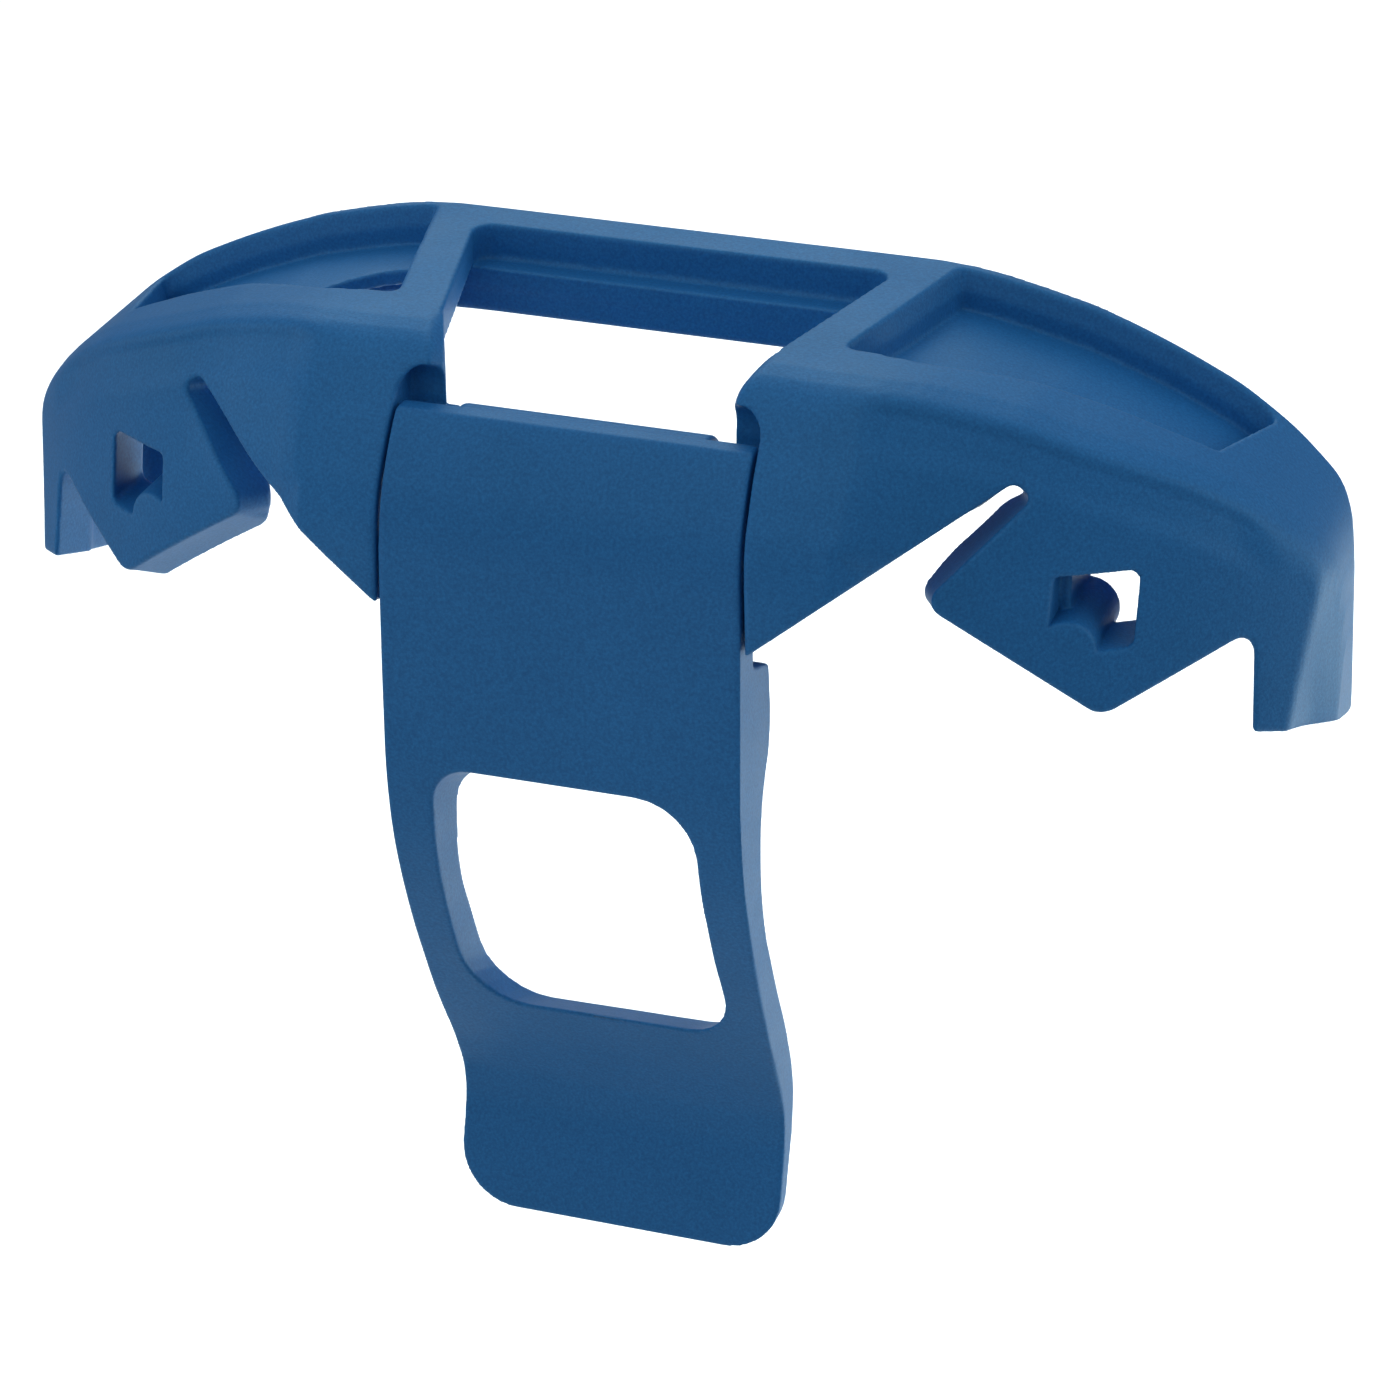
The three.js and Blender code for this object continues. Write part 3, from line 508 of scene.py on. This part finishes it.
f, org = body_field(CELL_BODY)
handle = as_object("handle_moulding", *surface_net(f, org, CELL_BODY), body_box)
f, org = lever_field(CELL_LEVER)
lever = as_object("lever_moulding", *surface_net(f, org, CELL_LEVER), lever_box)

# ------------------------------------------------------------------ hinge pin: turned rod with chamfered, slightly domed ends
SEG = 48
prof = [(0.0, 0.0), (0.9, 0.02), (1.45, 0.12), (1.8, 0.35), (1.95, 0.62), (PIN_R, 0.9)]
rings = [(r, -PIN_HALF + d) for r, d in prof[1:]] + [(r, PIN_HALF - d) for r, d in prof[:0:-1]]
pv = [(-PIN_HALF, HINGE_Y, HINGE_Z)]
for r, px in rings:
    pv += [(px, HINGE_Y + r * math.cos(2 * math.pi * k / SEG), HINGE_Z + r * math.sin(2 * math.pi * k / SEG)) for k in range(SEG)]
pv.append((PIN_HALF, HINGE_Y, HINGE_Z))
pf = [(0, 1 + (k + 1) % SEG, 1 + k) for k in range(SEG)]
for n in range(len(rings) - 1):
    a, b = 1 + n * SEG, 1 + (n + 1) * SEG
    pf += [(a + k, a + (k + 1) % SEG, b + (k + 1) % SEG, b + k) for k in range(SEG)]
last, a = len(pv) - 1, 1 + (len(rings) - 1) * SEG
pf += [(last, a + k, a + (k + 1) % SEG) for k in range(SEG)]
v = np.clip((np.array(pv) + OFF) / 1000, np.array(pin_box[0]) + 2e-6, np.array(pin_box[1]) - 2e-6)
me = bpy.data.meshes.new("pin_rod")
me.from_pydata([tuple(p) for p in v], [], pf)
for p in me.polygons:
    p.use_smooth = True
pin = bpy.data.objects.new("pin_rod", me)
bpy.context.scene.collection.objects.link(pin)


# ------------------------------------------------------------------ materials
def material(name):
    m = bpy.data.materials.new(name)
    m.use_nodes = True
    nt = m.node_tree
    return m, nt, nt.nodes["Principled BSDF"]


def node(nt, kind, **inputs):
    n = nt.nodes.new(kind)
    for k, val in inputs.items():
        n.inputs[k.replace("_", " ")].default_value = val
    return n


def ramp(nt, src, stops, interp="LINEAR"):
    n = nt.nodes.new("ShaderNodeValToRGB")
    n.color_ramp.interpolation = interp
    e = n.color_ramp.elements
    while len(e) < len(stops):
        e.new(0.5)
    for el, (pos, col) in zip(e, stops):
        el.position, el.color = pos, (*col, 1)
    nt.links.new(src, n.inputs[0])
    return n.outputs[0]


def mix(nt, fac, a, b, blend="MIX"):
    n = nt.nodes.new("ShaderNodeMix")
    n.data_type, n.blend_type = "RGBA", blend
    for sock, val in ((n.inputs[0], fac), (n.inputs[6], a), (n.inputs[7], b)):
        if hasattr(val, "links"):
            nt.links.new(val, sock)
        else:
            sock.default_value = val
    return n.outputs[2]


def moulded_plastic(name, dark, mid, light, seed):
    m, nt, bsdf = material(name)
    co = nt.nodes.new("ShaderNodeTexCoord").outputs["Object"]
    shift = nt.nodes.new("ShaderNodeMapping")
    shift.inputs["Location"].default_value = (seed, seed * 0.7, -seed * 1.3)
    nt.links.new(co, shift.inputs[0])
    co = shift.outputs[0]

    def noise(scale, detail, rough=0.5):
        n = node(nt, "ShaderNodeTexNoise", Scale=scale, Detail=detail, Roughness=rough)
        nt.links.new(co, n.inputs["Vector"])
        return n.outputs["Fac"]

    cloud = noise(22.0, 4.0, 0.55)          # flow of the melt, centimetres wide
    grain = noise(2100.0, 2.0, 0.6)         # moulded texture, half a millimetre
    fine = noise(5200.0, 1.0, 0.5)
    base = ramp(nt, cloud, [(0.3, dark), (0.5, mid), (0.72, light)])
    speck = ramp(nt, grain, [(0.30, (0.72, 0.76, 0.80)), (0.52, (1, 1, 1)), (0.74, (1.34, 1.28, 1.22))])
    base = mix(nt, 0.75, base, speck, "MULTIPLY")
    # painted highlight: convex edges (high pointiness), in noisy patches, are mixed towards a paler blue
    geo = nt.nodes.new("ShaderNodeNewGeometry")
    painted_edge_highlight = ramp(nt, geo.outputs["Pointiness"], [(0.515, (0, 0, 0)), (0.60, (1, 1, 1))])
    patch = ramp(nt, noise(140.0, 3.0), [(0.42, (0, 0, 0)), (0.62, (1, 1, 1))])
    edge = mix(nt, 1.0, painted_edge_highlight, patch, "MULTIPLY")
    dim = nt.nodes.new("ShaderNodeMath")
    dim.operation = "MULTIPLY"
    nt.links.new(edge, dim.inputs[0])
    dim.inputs[1].default_value = 0.22
    # mix in the painted edge highlight, at most 22 %
    base = mix(nt, dim.outputs[0], base, (min(1, light[0] * 1.9), light[1] * 1.6, light[2] * 1.4, 1))
    nt.links.new(base, bsdf.inputs["Base Color"])
    rough = nt.nodes.new("ShaderNodeMapRange")
    rough.inputs["To Min"].default_value, rough.inputs["To Max"].default_value = 0.44, 0.60
    nt.links.new(noise(60.0, 4.0, 0.6), rough.inputs["Value"])
    nt.links.new(rough.outputs[0], bsdf.inputs["Roughness"])
    bsdf.inputs["IOR"].default_value = 1.5
    bsdf.inputs["Specular IOR Level"].default_value = 0.38
    bsdf.inputs["Specular Tint"].default_value = (0.75, 1.0, 1.0, 1.0)
    b1 = node(nt, "ShaderNodeBump", Strength=0.30, Distance=0.00012)
    nt.links.new(grain, b1.inputs["Height"])
    b2 = node(nt, "ShaderNodeBump", Strength=0.10, Distance=0.00006)
    nt.links.new(fine, b2.inputs["Height"])
    nt.links.new(b1.outputs[0], b2.inputs["Normal"])
    b3 = node(nt, "ShaderNodeBump", Strength=0.10, Distance=0.0006)
    nt.links.new(noise(38.0, 2.0), b3.inputs["Height"])
    nt.links.new(b2.outputs[0], b3.inputs["Normal"])
    nt.links.new(b3.outputs[0], bsdf.inputs["Normal"])
    return m


def drawn_steel(name):
    m, nt, bsdf = material(name)
    co = nt.nodes.new("ShaderNodeTexCoord").outputs["Object"]
    st = nt.nodes.new("ShaderNodeMapping")
    st.inputs["Scale"].default_value = (40, 2600, 2600)
    nt.links.new(co, st.inputs[0])
    streak = node(nt, "ShaderNodeTexNoise", Scale=1.0, Detail=3.0)
    nt.links.new(st.outputs[0], streak.inputs["Vector"])
    nt.links.new(ramp(nt, streak.outputs["Fac"], [(0.3, (0.45, 0.455, 0.46)), (0.7, (0.66, 0.665, 0.67))]), bsdf.inputs["Base Color"])
    bsdf.inputs["Metallic"].default_value = 1.0
    rough = nt.nodes.new("ShaderNodeMapRange")
    rough.inputs["To Min"].default_value, rough.inputs["To Max"].default_value = 0.22, 0.42
    nt.links.new(streak.outputs["Fac"], rough.inputs["Value"])
    nt.links.new(rough.outputs[0], bsdf.inputs["Roughness"])
    b = node(nt, "ShaderNodeBump", Strength=0.12, Distance=0.00005)
    nt.links.new(streak.outputs["Fac"], b.inputs["Height"])
    nt.links.new(b.outputs[0], bsdf.inputs["Normal"])
    return m


handle.data.materials.append(moulded_plastic("handle_blue", (0.0145, 0.133, 0.372), (0.0170, 0.144, 0.405), (0.0205, 0.158, 0.436), 0.31))
lever.data.materials.append(moulded_plastic("lever_blue", (0.0145, 0.130, 0.368), (0.0170, 0.141, 0.400), (0.0205, 0.155, 0.431), 1.73))
pin.data.materials.append(drawn_steel("pin_steel"))

for o, body, cad, name in ((handle, "handle", "handle_body", "handle_plastic"), (lever, "lever", "latch_lever", "lever_plastic"), (pin, "handle", "hinge_pin", "pin_steel")):
    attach(o, body)
    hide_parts(cad)

# ------------------------------------------------------------------ studio
scene = bpy.context.scene
FLOOR_Z = size_start[0][2] - 1.00
me = bpy.data.meshes.new("studio_floor")
R = 6.0
me.from_pydata([(-R, -R, FLOOR_Z), (R, -R, FLOOR_Z), (R, R, FLOOR_Z), (-R, R, FLOOR_Z)], [], [(0, 1, 2, 3)])
floor = bpy.data.objects.new("studio_floor", me)
scene.collection.objects.link(floor)
fm, nt, bsdf = material("studio_white")
bsdf.inputs["Base Color"].default_value = (0.93, 0.93, 0.93, 1)
bsdf.inputs["Roughness"].default_value = 0.9
floor.data.materials.append(fm)


def area(name, loc, target, size, power, color=(1, 1, 1), spread=math.pi):
    d = bpy.data.lights.new(name, "AREA")
    d.shape, d.size, d.energy, d.color = "DISK", size, power, color
    d.spread = spread
    o = bpy.data.objects.new(name, d)
    o.location = loc
    from mathutils import Vector
    o.rotation_euler = (Vector(target) - Vector(loc)).to_track_quat("-Z", "Y").to_euler()
    scene.collection.objects.link(o)
    return o


COOL = (0.72, 0.98, 1.0)
area("floor_wash", (0.0, 2.80, 0.30), (0, 2.8, -1), 4.6, 80.0, (0.90, 0.99, 1.0), 2.1)
area("right_low", (1.10, 0.80, -0.45), (0, 0, 0), 1.0, 5.5, COOL)
area("front_broad", (-0.30, -1.30, 1.20), (0, 0, 0), 2.4, 8.4, COOL)
area("overhead", (0.0, 0.30, 1.50), (0, 0, 0), 1.6, 4.0, COOL)
area("back_top", (-0.50, 1.30, 1.10), (0, 0, 0), 1.4, 8.0, COOL)
area("right_soft", (1.40, 0.30, 0.62), (0, 0, 0), 1.2, 4.2, COOL)
area("left_low", (-0.90, -1.00, -0.60), (0, 0, 0), 0.8, 1.2, COOL)
area("left_soft", (-1.50, -0.20, 0.30), (0, 0, 0), 1.2, 3.0, COOL)

world = bpy.data.worlds.new("studio")
world.use_nodes = True
world.node_tree.nodes["Background"].inputs[0].default_value = (1, 1, 1, 1)
world.node_tree.nodes["Background"].inputs[1].default_value = 0.20
scene.world = world

# ------------------------------------------------------------------ camera, at the photo's angle
TH, PH, ROLL = 0.3249975663, 0.4759893897, -0.0041484545
eye = np.array([217.74968, -577.89712, 303.24201])
d = np.array([-math.sin(TH) * math.cos(PH), math.cos(TH) * math.cos(PH), -math.sin(PH)])
r = np.array([math.cos(TH), math.sin(TH), 0.0])
u = np.cross(r, d)
right = math.cos(ROLL) * r + math.sin(ROLL) * u
up = -math.sin(ROLL) * r + math.cos(ROLL) * u
cam = bpy.data.cameras.new("camera")
cam.sensor_width = 36.0
cam.lens = 4500.0 / 1400.0 * 36.0
cam.clip_start, cam.clip_end = 0.01, 50
co = bpy.data.objects.new("camera", cam)
pos = (eye + OFF) / 1000
co.matrix_world = Matrix(((right[0], up[0], -d[0], pos[0]), (right[1], up[1], -d[1], pos[1]), (right[2], up[2], -d[2], pos[2]), (0, 0, 0, 1)))
scene.collection.objects.link(co)
scene.camera = co
scene.view_settings.view_transform = "Standard"
scene.view_settings.look = "None"
